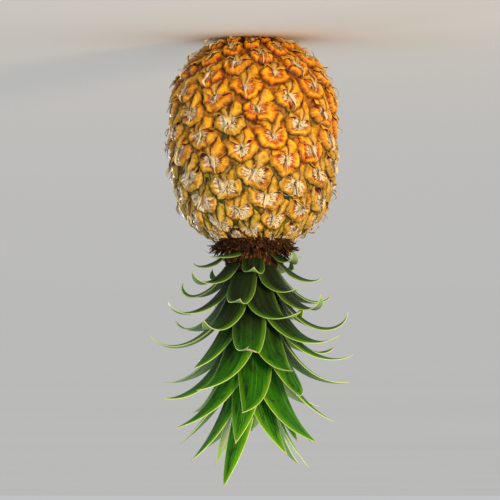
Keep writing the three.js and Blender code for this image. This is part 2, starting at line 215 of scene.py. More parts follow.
def own_relief(eye, side, up):
    """How far one eye stands over the low skin between the eyes, and the shade under its rim.
    An eye is a scale: it rises gently from the base side and ends at a steep scalloped rim."""
    bearing, reach, inside, crest = eye_form(eye, side, up)
    crownward = smooth(-0.5, 0.3, np.cos(bearing))
    steep = smooth(-0.05, 0.09, inside)
    gentle = smooth(1.3, 0.35, reach)
    cover = gentle + (steep - gentle) * crownward
    top = DISC_HEIGHT + LOBE_HEIGHT * crest
    top = top - MIDDLE_DIP * bell(reach, 0.0, 0.35)
    top = top - SLIT_DEPTH * bell(side, 1.0, 0.7) * bell(up, 0.8, 1.6)
    shade = crownward * smooth(-0.24, -0.03, inside) * smooth(0.03, -0.02, inside)
    return np.maximum(top, 0.0) * cover, shade


def eye_field(eye, shallow, steep):
    """At any place of the net: the height of the skin, the eye it belongs to, as steps along
    both rows, and how much it lies in the shade of another eye's rim."""
    height, best, shade = -1.0, 0.0, 0.0
    row, column = 0.0 * shallow, 0.0 * steep
    for ahead in (-1, 0, 1):
        for over in (-1, 0, 1):
            side, up = place_in_eye(shallow - ahead, steep - over)
            rise, rim = own_relief(eye + SHALLOW_STEP * ahead + STEEP_STEP * over, side, up)
            shade = np.maximum(shade, rim)
            claim = rise - 0.02 * np.hypot(side, up) + 2.0
            row = np.where(claim > best, ahead, row)
            column = np.where(claim > best, over, column)
            best = np.maximum(claim, best)
            height = np.maximum(rise, height)
    return height - GROOVE_DEPTH, row, column, shade


def corner_values(mesh, named_values):
    """Stores numbers or vectors for each face corner, by name, for the material to read."""
    for name, values in named_values.items():
        values = np.asarray(values, np.float32)
        is_vector = values.ndim == 2 and values.shape[1] == 3
        kind, field = ("FLOAT_VECTOR", "vector") if is_vector else ("FLOAT", "value")
        mesh.attributes.new(name, kind, "CORNER").data.foreach_set(field, values.ravel())


def new_piece(name, points, faces, material, replaced=()):
    """Adds a piece of the fruit from points in mm, all its faces shaded smooth."""
    mesh = bpy.data.meshes.new(name)
    mesh.from_pydata((np.asarray(points) * MM).tolist(), [], [tuple(face) for face in faces])
    mesh.polygons.foreach_set("use_smooth", np.ones(len(mesh.polygons), bool))
    mesh.materials.append(material)
    piece = bpy.data.objects.new(name, mesh)
    bpy.context.scene.collection.objects.link(piece)
    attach(piece, "root")
    if replaced:
        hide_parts(*replaced)
    return piece


def linear(code):
    """An sRGB hex colour as the linear colour that a material takes."""
    parts = [int(code[i : i + 2], 16) / 255.0 for i in (1, 3, 5)]
    return (*[p / 12.92 if p <= 0.04045 else ((p + 0.055) / 1.055) ** 2.4 for p in parts], 1.0)


def add_node(tree, kind, inputs=None, stops=(), result=0, **settings):
    """Adds a shader node with its settings, a value or a link for each input, and the stops of
    its colours in order. It returns the named output, or the node where it has none."""
    node = tree.nodes.new("ShaderNode" + kind)
    for name, value in settings.items():
        setattr(node, name, value)
    for name, value in (inputs or {}).items():
        if isinstance(value, bpy.types.NodeSocket):
            tree.links.new(value, node.inputs[name])
        else:
            node.inputs[name].default_value = linear(value) if isinstance(value, str) else value
    for number, (place, code) in enumerate(stops):
        points = node.color_ramp.elements
        point = points[number] if number < 2 else points.new(place)
        point.position = place
        point.color = linear(code)
    return node.outputs[result] if node.outputs else node


def new_material(name):
    """A material and its node tree, which is still empty."""
    material = bpy.data.materials.new(name)
    material.use_nodes = True
    material.node_tree.nodes.clear()
    return material, material.node_tree


# For a range whose share changes softly at both ends.
SOFT = {"interpolation_type": "SMOOTHSTEP"}


def waxy_rind():
    """Waxy plant skin: a soft gloss over orange and golden lobes, olive where it is less ripened.
    Its colour also holds painted shade under the rims, in the pits, in the folds of the lobes and
    on the side away from the lamp, and painted highlights on the crests of the lobes.
    """
    material, tree = new_material("waxy pineapple rind")
    reach, inside, crest, ripe_and_side_shade, shade, pit = (
        add_node(tree, "Attribute", result="Fac", attribute_name=name)
        for name in ("reach", "inside", "crest", "ripe_and_side_shade", "shade", "pit")
    )
    petal = add_node(tree, "Attribute", result="Vector", attribute_name="petal")
    where = add_node(tree, "TexCoord", result="Object")
    # Streaks that run out from the middle of each eye, about 2 mm apart at its rim.
    streak = add_node(
        tree, "TexNoise", {"Vector": petal, "Scale": 2.4, "Detail": 4.0, "Roughness": 0.62, "Distortion": 0.6}
    )
    # Blotches about 6 mm across, and specks of 1 mm.
    blotch = add_node(tree, "TexNoise", {"Vector": where, "Scale": 170.0, "Detail": 5.0, "Roughness": 0.65})
    speck = add_node(tree, "TexNoise", {"Vector": where, "Scale": 950.0, "Detail": 3.0, "Roughness": 0.6})

    # The lobes: orange and gold of their own, duller if less ripened. Painted shade makes them
    # red-brown in the folds between them, and a painted highlight makes them golden on their crests.
    uneven = add_node(tree, "Math", {0: streak, 1: 1.1, 2: -0.52}, operation="MULTIPLY_ADD")
    gold_and_crest_light = add_node(tree, "Math", {0: crest, 1: uneven}, operation="ADD")
    ripe_lobe = add_node(
        tree, "ValToRGB", {"Fac": gold_and_crest_light},
        [(0.10, "#4a1001"), (0.30, "#a44202"), (0.50, "#d47a04"), (0.72, "#e69a08"), (0.95, "#fac42c")],
    )
    green_lobe = add_node(
        tree, "ValToRGB", {"Fac": gold_and_crest_light},
        [(0.10, "#3c1202"), (0.30, "#7c3604"), (0.50, "#a8660a"), (0.72, "#bc8c14"), (0.95, "#dcba48")],
    )
    ripeness_here = add_node(tree, "Math", {0: blotch, 1: 0.4, 2: ripe_and_side_shade}, operation="MULTIPLY_ADD")
    is_ripe = add_node(tree, "MapRange", {"Value": ripeness_here, "From Min": 0.55, "From Max": 1.0})

    # The middle of an eye: cream, with brown specks and cracks. It is smaller in a ripe eye.
    grain = add_node(tree, "Math", {0: speck, 1: 0.6, 2: streak}, operation="MULTIPLY_ADD")
    cream = add_node(
        tree, "ValToRGB", {"Fac": grain},
        [(0.64, "#5a3416"), (0.71, "#ae8c50"), (0.79, "#dacca2"), (0.90, "#f2ecda")],
    )
    ragged = add_node(tree, "Math", {0: streak, 1: -0.9, 2: reach}, operation="MULTIPLY_ADD")
    smaller = add_node(tree, "Math", {0: ripe_and_side_shade, 1: 0.6, 2: ragged}, operation="MULTIPLY_ADD")
    in_middle = add_node(tree, "MapRange", {"Value": smaller, "From Min": 0.45, "From Max": 0.25}, **SOFT)

    # The rim: a pale line, strongest on the eyes that are least ripe.
    at_rim = add_node(tree, "MapRange", {"Value": inside, "From Min": 0.16, "From Max": 0.04}, **SOFT)
    pale = add_node(
        tree, "MapRange",
        {"Value": ripeness_here, "From Min": 0.5, "From Max": 1.05, "To Min": 0.9, "To Max": 0.05},
    )
    rim = add_node(tree, "Math", {0: at_rim, 1: pale}, operation="MULTIPLY")

    # The low skin between the eyes: brown and golden, or green where the fruit is less ripened and
    # on its side painted as shaded.
    ripe_low = add_node(
        tree, "ValToRGB", {"Fac": blotch},
        [(0.36, "#642e02"), (0.47, "#9a5803"), (0.56, "#b87806"), (0.68, "#d49a12")],
    )
    green_low = add_node(
        tree, "ValToRGB", {"Fac": blotch},
        [(0.36, "#172607"), (0.47, "#41500a"), (0.56, "#756e10"), (0.68, "#a89a30")],
    )
    low_ripe = add_node(tree, "MapRange", {"Value": ripe_and_side_shade, "From Min": 0.25, "From Max": 0.7})
    low = add_node(tree, "Mix", {0: low_ripe, 6: green_low, 7: ripe_low}, result=2, data_type="RGBA")
    is_low = add_node(tree, "MapRange", {"Value": inside, "From Min": 0.02, "From Max": -0.03}, **SOFT)
    pores = add_node(tree, "MapRange", {"Value": speck, "From Min": 0.6, "From Max": 0.78, "To Max": 0.6})

    # Each layer covers the ones before it. The last three are painted shade under the rims and in
    # the pits, and dirt and tannin in the pores.
    layers = [(is_ripe, ripe_lobe), (in_middle, cream), (rim, "#dcbc5a"), (is_low, low)]
    layers += [(shade, "#1f0d03"), (pit, "#140a04"), (pores, "#3a1a06")]
    skin = green_lobe
    for share, layer in layers:
        skin = add_node(tree, "Mix", {0: share, 6: skin, 7: layer}, result=2, data_type="RGBA")
    bump = add_node(tree, "Bump", {"Strength": 0.6, "Distance": 0.8 * MM, "Height": grain})
    gloss = add_node(
        tree, "MapRange", {"Value": streak, "From Min": 0.3, "From Max": 0.7, "To Min": 0.5, "To Max": 0.3}
    )
    surface = add_node(
        tree, "BsdfPrincipled",
        {"Base Color": skin, "Roughness": gloss, "Specular IOR Level": 0.28, "Normal": bump},
    )
    add_node(tree, "OutputMaterial", {"Surface": surface})
    return material


rind_material = waxy_rind()


def ripeness_and_side_shade(points, eye):
    """From 1, ripened, at the base down to the crown, and uneven by eye. As painted shade, the
    side away from the front lamp is set lower, so that it is greener and darker.
    """
    ripe_and_side_shade = 1.08 - 0.95 * points[..., 2] / FRUIT_HEIGHT - 0.12 * points[..., 0] / FRUIT_RADIUS
    return ripe_and_side_shade + 0.36 * (draw(eye, 41) - 0.5) + 0.08 * waves(points, 42, 30.0)


def grow_rind(name, first_eye, last_eye):
    """A patch of the rind from one eye up to another, cut level at the base and at the neck."""
    cells = EYE_CELLS
    corner_steps = ((0, 0), (1, 0), (1, 1), (0, 1))
    eyes = np.arange(first_eye, last_eye)
    net = np.meshgrid(eyes, np.arange(cells), np.arange(cells), indexing="ij")
    eye, i, j = (part.ravel() for part in net)
    corners = []
    for di, dj in corner_steps:
        owner = eye + SHALLOW_STEP * ((i + di) // cells) + STEEP_STEP * ((j + dj) // cells)
        corners.append((owner * cells + (i + di) % cells) * cells + (j + dj) % cells)
    used, faces = np.unique(np.stack(corners, axis=1), return_inverse=True)
    faces = faces.reshape(-1, 4)
    owner = used // (cells * cells)
    shallow = (used // cells) % cells / cells - 0.5
    steep = used % cells / cells - 0.5
    plain = skin_point(owner, shallow, steep, 0.0)
    aside = np.stack(puckers(plain))
    height, _, _, shade = eye_field(owner, shallow + aside[0], steep + aside[1])
    uneven = SKIN_UNEVENNESS * waves(plain, 23, SKIN_UNEVENNESS_LENGTH)
    points = skin_point(owner, shallow, steep, height + uneven)
    heights = points[faces][:, :, 2]
    kept = (heights.max(1) > 0.0) & (heights.min(1) < FRUIT_HEIGHT)
    faces, eye, i, j = faces[kept], eye[kept], i[kept], j[kept]
    used, faces = np.unique(faces, return_inverse=True)
    faces = faces.reshape(-1, 4)
    points, shade, aside = points[used], shade[used], aside[:, used]
    points[:, 2] = np.clip(points[:, 2], 0.0, FRUIT_HEIGHT)
    piece = new_piece(name, points, faces, rind_material, ["fruit"])

    # Each face is coloured as part of one eye, the one that its middle belongs to.
    middle = aside[:, faces].mean(axis=2)
    _, row, column, _ = eye_field(
        eye, (i + 0.5) / cells - 0.5 + middle[0], (j + 0.5) / cells - 0.5 + middle[1]
    )
    owner = eye + SHALLOW_STEP * row + STEEP_STEP * column
    places = []
    for number, (di, dj) in enumerate(corner_steps):
        shallow = (i + di) / cells - 0.5 - row + aside[0][faces[:, number]]
        steep = (j + dj) / cells - 0.5 - column + aside[1][faces[:, number]]
        places.append(place_in_eye(shallow, steep))
    side, up = np.array(places).transpose(1, 2, 0).reshape(2, -1)
    owner = np.repeat(owner, 4)
    bearing, reach, inside, crest = eye_form(owner, side, up)
    petal = [2.2 * np.sin(bearing), 2.2 * np.cos(bearing), reach + 40.0 * draw(owner, 31)]
    values = {
        "petal": np.stack(petal, axis=1),
        "reach": reach,
        "inside": inside,
        "crest": crest,
        "ripe_and_side_shade": ripeness_and_side_shade(points[faces.ravel()], owner),
        "shade": 0.92 * shade[faces.ravel()],
        "pit": bell(side, 1.0, 0.6) * bell(up, 0.8, 1.4),
    }
    corner_values(piece.data, values)


# The net is grown in two halves, so that neither has more faces than a file of it should.
MIDDLE_EYE = 60
grow_rind("rind_lower", -EYES_PAST_END, MIDDLE_EYE)
grow_rind("rind_upper", MIDDLE_EYE, EYE_COUNT + EYES_PAST_END)

# The dry bracts: each eye has a papery leaf that starts between the two eyes below it, spreads in
# two wings over its lower half and ends in a pale tongue, which has dried and curled off the fruit.
BRACT_ROWS = 26
BRACT_COLUMNS = 22
BRACT_FOOT = -16.0
BRACT_THICK = 0.35
BRACT_CLEAR = 0.3  # between the skin and the middle of a bract
BRACT_HALF_WIDTHS = [[0.0, 3.5], [0.25, 6.5], [0.5, 9.5], [0.75, 11.5], [1.0, 11.0]]
TONGUE_SHARE = 0.15


def ramp(stations, place):
    """The value at a place between the stations of a list of pairs, straight on past the ends."""
    places, values = np.array(stations, float).T
    low = np.clip(np.searchsorted(places, place, side="right") - 1, 0, len(places) - 2)
    share = (place - places[low]) / (places[low + 1] - places[low])
    return values[low] + share * (values[low + 1] - values[low])


def blade_faces(rows, columns):
    """The faces of a thin closed blade: its outer points come first, row by row, then its inner."""
    wide = columns + 1
    behind = (rows + 1) * wide
    row, column = np.meshgrid(np.arange(rows), np.arange(columns), indexing="ij")
    a = (row * wide + column).ravel()
    outer = np.stack([a, a + 1, a + 1 + wide, a + wide], axis=1)
    inner = behind + outer[:, ::-1]
    left = np.arange(rows) * wide
    right = left + columns
    foot = np.arange(columns)
    tip = foot + rows * wide
    walls = [
        np.stack([left, left + wide, left + wide + behind, left + behind], axis=1),
        np.stack([right, right + behind, right + wide + behind, right + wide], axis=1),
        np.stack([foot, foot + behind, foot + 1 + behind, foot + 1], axis=1),
        np.stack([tip, tip + 1, tip + 1 + behind, tip + behind], axis=1),
    ]
    return np.concatenate([outer, inner, *walls])


def blades(name, middle, offset, material, values, replaced=(), two_faced=False):
    """One piece of many blades. middle is their middle surface, offset the way from it to the
    outer face, and values are numbers or vectors for the material, all with one entry for each
    blade, row and column. A two-faced one also tells its material which face is the inner
    one."""
    count, rows, columns = middle.shape[0], middle.shape[1] - 1, middle.shape[2] - 1
    faces = blade_faces(rows, columns)
    each = 2 * (rows + 1) * (columns + 1)
    faces = (faces[None] + each * np.arange(count)[:, None, None]).reshape(-1, 4)
    points = np.stack([middle + offset, middle - offset], axis=1)
    piece = new_piece(name, points.reshape(-1, 3), faces, material, replaced)
    smooth_faces = np.zeros((count, len(faces) // count), bool)
    smooth_faces[:, : 2 * rows * columns] = True
    piece.data.polygons.foreach_set("use_smooth", smooth_faces.ravel())
    at_corners = {}
    for label, value in values.items():
        value = np.asarray(value)
        value = np.broadcast_to(value, middle.shape[:3] + value.shape[3:])
        value = value.reshape(count, each // 2, -1)
        value = np.concatenate([value, value], axis=1).reshape(count * each, -1)
        at_corners[label] = value[faces.ravel()]
    if two_faced:
        at_corners["inner"] = faces.ravel() % each >= each // 2
    corner_values(piece.data, at_corners)


def dry_bract():
    """Dry papery leaf: matt, with fine fibres and folds along it, waxy gold at its wings, and
    bleached at its edge and on the tongue."""
    material, tree = new_material("dry papery bract")
    wing, star, to_edge, ripe_and_side_shade, shade = (
        add_node(tree, "Attribute", result="Fac", attribute_name=name)
        for name in ("wing", "star", "to_edge", "ripe_and_side_shade", "shade")
    )
    lane = add_node(tree, "Attribute", result="Vector", attribute_name="lane")
    where = add_node(tree, "TexCoord", result="Object")
    # Fibres about 0.8 mm apart, so that they show, though real ones are finer.
    fibre = add_node(
        tree, "TexNoise", {"Vector": lane, "Scale": 1.2, "Detail": 5.0, "Roughness": 0.7, "Distortion": 0.5}
    )
    # Blotches about 4 mm across.
    blotch = add_node(tree, "TexNoise", {"Vector": where, "Scale": 260.0, "Detail": 5.0, "Roughness": 0.7})
    creased = add_node(tree, "Math", {0: star, 1: 0.34, 2: -0.21}, operation="MULTIPLY_ADD")
    paper_tone = add_node(tree, "Math", {0: fibre, 1: creased}, operation="ADD")
    wax_tone = add_node(tree, "Math", {0: blotch, 1: creased}, operation="ADD")
    tan = add_node(
        tree, "ValToRGB", {"Fac": paper_tone},
        [(0.32, "#4a2003"), (0.43, "#965c10"), (0.53, "#bb8832"), (0.66, "#dcbc74")],
    )
    grey = add_node(
        tree, "ValToRGB", {"Fac": paper_tone},
        [(0.32, "#2c1a06"), (0.43, "#644810"), (0.53, "#967628"), (0.66, "#ccb674")],
    )
    ripe_gold = add_node(
        tree, "ValToRGB", {"Fac": wax_tone},
        [(0.33, "#6e2e02"), (0.44, "#bc7205"), (0.53, "#da9a0e"), (0.66, "#f2c02c")],
    )
    green_gold = add_node(
        tree, "ValToRGB", {"Fac": wax_tone},
        [(0.33, "#1c2e08"), (0.43, "#565a0e"), (0.53, "#968018"), (0.66, "#c8ae40")],
    )
    is_ripe = add_node(tree, "MapRange", {"Value": ripe_and_side_shade, "From Min": 0.2, "From Max": 0.65})
    paper = add_node(tree, "Mix", {0: is_ripe, 6: grey, 7: tan}, result=2, data_type="RGBA")
    wax = add_node(tree, "Mix", {0: is_ripe, 6: green_gold, 7: ripe_gold}, result=2, data_type="RGBA")
    ragged = add_node(tree, "Math", {0: blotch, 1: 0.7, 2: wing}, operation="MULTIPLY_ADD")
    is_wing = add_node(tree, "MapRange", {"Value": ragged, "From Min": 0.42, "From Max": 0.78}, **SOFT)
    frayed = add_node(tree, "Math", {0: fibre, 1: 2.4, 2: to_edge}, operation="MULTIPLY_ADD")
    bleached = add_node(
        tree, "MapRange", {"Value": frayed, "From Min": 1.9, "From Max": 0.9, "To Max": 0.85}, **SOFT
    )
    old_tongue = add_node(
        tree, "MapRange", {"Value": to_edge, "From Min": -0.3, "From Max": -1.5, "To Max": 0.9}
    )
    colour = paper
    # The shade layer is painted shade under the rims of the eyes round it.
    layers = [(is_wing, wax), (bleached, "#ccb476"), (shade, "#1f0d03"), (old_tongue, "#e2d8ba")]
    for share, layer in layers:
        colour = add_node(tree, "Mix", {0: share, 6: colour, 7: layer}, result=2, data_type="RGBA")
    bump = add_node(tree, "Bump", {"Strength": 0.7, "Distance": 0.7 * MM, "Height": fibre})
    gloss = add_node(tree, "MapRange", {"Value": is_wing, "To Min": 0.68, "To Max": 0.42})
    surface = add_node(
        tree, "BsdfPrincipled",
        {"Base Color": colour, "Roughness": gloss, "Specular IOR Level": 0.22, "Normal": bump},
    )
    add_node(tree, "OutputMaterial", {"Surface": surface})
    return material


def blade_grid(first, last, rows, columns):
    """The number of each blade, the share of its length from foot to tip, and the place across
    it from -1 to 1."""
    index = np.arange(first, last)[:, None, None].astype(float)
    along = np.linspace(0.0, 1.0, rows + 1)[None, :, None]
    across = np.linspace(-1.0, 1.0, columns + 1)[None, None, :]
    return index, along, across


def square_to(points):
    """The unit direction square to each point of a grid of rows and columns."""
    along = np.gradient(points, axis=1)
    across = np.gradient(points, axis=2)
    square = np.cross(across, along)
    return square / np.maximum(np.linalg.norm(square, axis=-1, keepdims=True), 1e-9)


bract_material = dry_bract()


def grow_bracts(name, first_eye, last_eye):
    """The bracts from one eye up to another."""
    index, along, across = blade_grid(first_eye, last_eye, BRACT_ROWS, BRACT_COLUMNS)
    # Its outline in the frame of the eye, in mm: two arched wings, and a tongue that swings.
    across = np.sign(across) * np.abs(across) ** 1.4
    far = np.abs(across)
    arch = 0.4 + 1.8 * np.where(across < 0.0, draw(index, 60), draw(index, 61))
    wing_edge = -0.8 - arch * np.sin(math.pi * far) - 3.2 * far**2 - 1.8 * smooth(40.0, 110.0, index)
    wing_edge = wing_edge + 0.9 * np.sin(8.0 * across + 40.0 * draw(index, 53)) * far
    tongue = (2.5 + 9.5 * draw(index, 51)) * bell(across, 0.0, TONGUE_SHARE)
    up = BRACT_FOOT + (wing_edge + tongue - BRACT_FOOT) * along
    on_tongue = smooth(0.0, 1.0, (up - wing_edge) / np.maximum(tongue, 0.5))
    half = ramp(BRACT_HALF_WIDTHS, along) * (0.85 + 0.25 * draw(index, 54))
    swing = 6.0 * (draw(index, 52) - 0.5)
    side = -2.0 * (1.0 - along) + half * across * (1.0 - 0.85 * on_tongue) + swing * on_tongue**2
    turned_side, turned_up = own_turn(index, side, up, -1.0)

    # Its height: it lies on the eye, domed and folded, with the eye's lobes pressed through as a
    # star, and the tongue curls up off the fruit.
    eye = index + 0.0 * side
    rise = own_relief(eye, turned_side, turned_up)[0]
    over = rise - GROOVE_DEPTH + BRACT_CLEAR
    over = over + 1.1 * (1.0 - far) ** 2 * bell(along, 0.55, 0.35)
    folds = np.sin(9.0 * across + 30.0 * draw(index, 56)) + np.sin(17.0 * across + 50.0 * draw(index, 58))
    over = over + 0.25 * folds * smooth(0.0, 0.3, along)
    bearing, reach, _, _ = eye_form(eye, turned_side, turned_up)
    star = np.abs(np.sin(3.5 * bearing + 2.0 * draw(index, 59))) ** 0.7
    over = over + 1.1 * star * bell(reach, 0.75, 0.45)
    over = over + 0.5 * smooth(-2.5, 0.0, up - wing_edge) * far
    lift = 0.4 + 3.2 * draw(index, 55) ** 2.0
    over = over + lift * np.sin(2.6 * on_tongue**1.5) + 0.5 * on_tongue
    middle = on_eye(eye, turned_side, turned_up, over)
    middle[..., 2] = np.clip(middle[..., 2], 0.4, FRUIT_HEIGHT + 1.5)

    # The shade under the rims of the eyes round it, and the numbers for the material.
    shallow, steep = shares_at(turned_side, turned_up)
    shade = 0.0
    for ahead, beyond in ((-1, 0), (0, -1), (-1, -1), (-1, 1), (1, -1)):
        near_side, near_up = place_in_eye(shallow - ahead, steep - beyond)
        near_eye = eye + SHALLOW_STEP * ahead + STEEP_STEP * beyond
        shade = np.maximum(shade, own_relief(near_eye, near_side, near_up)[1])
    lane = [1.1 * side, 0.3 * up, 60.0 * draw(index, 57) + 0.0 * side]
    values = {
        "wing": far,
        "star": star,
        "to_edge": wing_edge - up,
        "lane": np.stack(lane, axis=-1),
        "ripe_and_side_shade": ripeness_and_side_shade(middle, index),
        "shade": 0.8 * shade,
    }
    offset = 0.5 * BRACT_THICK * square_to(middle)
    blades(name, middle, offset, bract_material, values)


grow_bracts("bracts_lower", 0, MIDDLE_EYE)
grow_bracts("bracts_upper", MIDDLE_EYE, EYE_COUNT)

# The dried flowers: each eye keeps the shrivelled threads of its flower in the middle, and here
# and there a long pale fibre has come loose and curls off the fruit. Both are dry plant fibre,
# and grow from the skin.
THREAD_ROWS = 11
THREAD_SIDES = 5
SHORT_THREADS = 420
LONG_THREADS = 190


def tubes(name, paths, radii, material):
    """One piece of thin closed tubes along paths of points in mm."""
    count, rows = paths.shape[:2]
    ahead = np.gradient(paths, axis=1)
    ahead /= np.linalg.norm(ahead, axis=-1, keepdims=True)
    beside = np.cross(ahead, [0.31, 0.17, 0.94])
    beside /= np.linalg.norm(beside, axis=-1, keepdims=True)
    square = np.cross(ahead, beside)
    turn = np.linspace(0.0, 2.0 * math.pi, THREAD_SIDES, endpoint=False)
    ring = beside[:, :, None] * np.cos(turn)[:, None] + square[:, :, None] * np.sin(turn)[:, None]
    points = paths[:, :, None] + ring * radii[:, :, None, None]
    row, side = np.meshgrid(np.arange(rows - 1), np.arange(THREAD_SIDES), indexing="ij")
    a = (row * THREAD_SIDES + side).ravel()
    b = (row * THREAD_SIDES + (side + 1) % THREAD_SIDES).ravel()
    walls = np.stack([a, b, b + THREAD_SIDES, a + THREAD_SIDES], axis=1)
    each = rows * THREAD_SIDES
    faces = []
    for thread in range(count):
        faces.extend((walls + thread * each).tolist())
        faces.append(list(range(thread * each, thread * each + THREAD_SIDES))[::-1])
        faces.append(list(range((thread + 1) * each - THREAD_SIDES, (thread + 1) * each)))
    return new_piece(name, points.reshape(-1, 3), faces, material)


def dried_thread():
    """Dried flower threads and loose fibres: matt straw colour, brown in places."""
    material, tree = new_material("dried flower threads")
    where = add_node(tree, "TexCoord", result="Object")
    # Patches 4 mm long.
    patch = add_node(tree, "TexNoise", {"Vector": where, "Scale": 250.0, "Detail": 2.0})
    colour = add_node(
        tree, "ValToRGB", {"Fac": patch}, [(0.36, "#4a2a10"), (0.48, "#b09060"), (0.62, "#d9cba6")]
    )
    surface = add_node(tree, "BsdfPrincipled", {"Base Color": colour, "Roughness": 0.7})
    add_node(tree, "OutputMaterial", {"Surface": surface})
    return material


thread_material = dried_thread()


def grow_threads(name, count, seed, lengths, lifts, thick):
    """Threads that start in the middles of the eyes and lie along the skin or stand off it."""
    random = np.random.default_rng(seed)
    eye = random.integers(0, EYE_COUNT, count)[:, None].astype(float)
    s = np.linspace(0.0, 1.0, THREAD_ROWS)[None, :]
    length = random.uniform(*lengths, (count, 1))
    lift = random.uniform(*lifts, (count, 1))
    bearing = random.uniform(-2.2, 2.2, (count, 1)) + random.uniform(-1.6, 1.6, (count, 1)) * s
    side = random.uniform(-2.5, 3.0, (count, 1)) + length * s * np.sin(bearing)
    up = random.uniform(-2.0, 2.5, (count, 1)) + length * s * np.cos(bearing)
    rise = own_relief(eye, side, up)[0] - GROOVE_DEPTH
    wobble = 0.3 * np.sin(7.0 * s + random.uniform(0.0, 6.0, (count, 1)))
    over = rise + 0.1 + lift * np.sin(s * random.uniform(1.2, 2.6, (count, 1))) + wobble * s
    paths = on_eye(eye, side, up, over)
    paths[..., 2] = np.clip(paths[..., 2], 0.5, FRUIT_HEIGHT + 2.0) + 0.02 * s
    radii = thick * (0.35 + 0.65 * (1.0 - s)) * random.uniform(0.7, 1.3, (count, 1))
    tubes(name, paths, radii, thread_material)


grow_threads(
    "dried_flowers", SHORT_THREADS, seed=81, lengths=(2.0, 5.0), lifts=(0.3, 2.0), thick=0.32
)
grow_threads(
    "loose_fibres", LONG_THREADS, seed=82, lengths=(5.0, 11.0), lifts=(1.0, 5.0), thick=0.42
)

# The neck: where the crown sits on the fruit, short brown scale leaves have withered in rings
# round the stem, with loose fibres between them. They are dry plant fibre, matt and frayed.
SEAT = FRUIT_HEIGHT + 0.3
NECK_RADIUS = 26.5
NECK_TOP_RADIUS = 23.0
NECK_HEIGHT = 5.5
STEM_FOOT_RADIUS = 19.5
STEM_TOP_RADIUS = 5.0
STEM_HEIGHT = 74.0
BUD_HEIGHT = 8.0
SCALE_COUNT = 190
SCALE_ROWS = 10
SCALE_COLUMNS = 6
SCALE_THICK = 0.5
SPREADING_SHARE = 0.62  # the scales that spread out over the fruit; the rest clasp the stem
NECK_HAIRS = 260
HAIR_THICK = 0.22
LEAF_TURN = math.radians(137.5)


def withered_fibre():
    """Withered plant fibre: dark brown with lighter strands that run up the scales."""
    material, tree = new_material("withered scale leaves")
    where = add_node(tree, "TexCoord", result="Object")
    # Strands 1 mm apart round the neck and 4 mm long.
    stretched = add_node(tree, "Mapping", {"Vector": where, "Scale": (1.0, 1.0, 0.25)})
    strand = add_node(
        tree, "TexNoise", {"Vector": stretched, "Scale": 700.0, "Detail": 4.0, "Roughness": 0.7}
    )
    colour = add_node(
        tree, "ValToRGB", {"Fac": strand},
        [(0.36, "#110904"), (0.50, "#2e1a0b"), (0.60, "#664020"), (0.70, "#a88452")],
    )
    bump = add_node(tree, "Bump", {"Strength": 0.8, "Distance": 0.8 * MM, "Height": strand})
    surface = add_node(
        tree, "BsdfPrincipled",
        {"Base Color": colour, "Roughness": 0.8, "Specular IOR Level": 0.2, "Normal": bump},
    )
    add_node(tree, "OutputMaterial", {"Surface": surface})
    return material


fibre_material = withered_fibre()


def stem_radius(height):
    share = (height - NECK_HEIGHT) / (STEM_HEIGHT - NECK_HEIGHT)
    return STEM_FOOT_RADIUS + (STEM_TOP_RADIUS - STEM_FOOT_RADIUS) * share


def turn_profile(name, profile, material, replaced, sides, roughness):
    """A piece turned round the axis from radius and height pairs that start and end on it."""
    profile = np.array(profile)
    turn = np.linspace(0.0, 2.0 * math.pi, sides, endpoint=False)[None, :]
    points = around(profile[:, :1] + 0.0 * turn, turn, profile[:, 1:])
    dents = roughness * (waves(points, 61, 5.0) + waves(points, 62, 2.2))
    outward = points * [1.0, 1.0, 0.0]
    outward /= np.maximum(np.linalg.norm(outward, axis=-1, keepdims=True), 1e-6)
    points = points + outward * dents[..., None] * (profile[:, 0] > 1.0)[:, None, None]
    rows = len(profile)
    row, column = np.meshgrid(np.arange(rows - 1), np.arange(sides), indexing="ij")
    a = (row * sides + column).ravel()
    b = (row * sides + (column + 1) % sides).ravel()
    faces = np.stack([a, b, b + sides, a + sides], axis=1)
    piece = new_piece(name, points.reshape(-1, 3), faces, material, replaced)
    shape = bmesh.new()
    shape.from_mesh(piece.data)
    bmesh.ops.remove_doubles(shape, verts=shape.verts, dist=0.01 * MM)
    shape.to_mesh(piece.data)
    shape.free()
    return piece


def stem_profile():
    neck = [
        [NECK_RADIUS + (NECK_TOP_RADIUS - NECK_RADIUS) * share, NECK_HEIGHT * share]
        for share in np.linspace(0.0, 1.0, 8)
    ]
    stem = [[stem_radius(height), height] for height in np.linspace(NECK_HEIGHT, STEM_HEIGHT, 30)]
    plug = [[0.0, -8.0], [9.0, -8.0], [9.0, 0.0]]
    bud = [[3.8, STEM_HEIGHT + 4.0], [2.0, STEM_HEIGHT + 7.0], [0.0, STEM_HEIGHT + BUD_HEIGHT]]
    return [[radius, SEAT + height] for radius, height in plug + neck + stem + bud]


turn_profile(
    "neck_and_stem", stem_profile(), fibre_material, ["crown_stem"],
    sides=128, roughness=0.22,
)


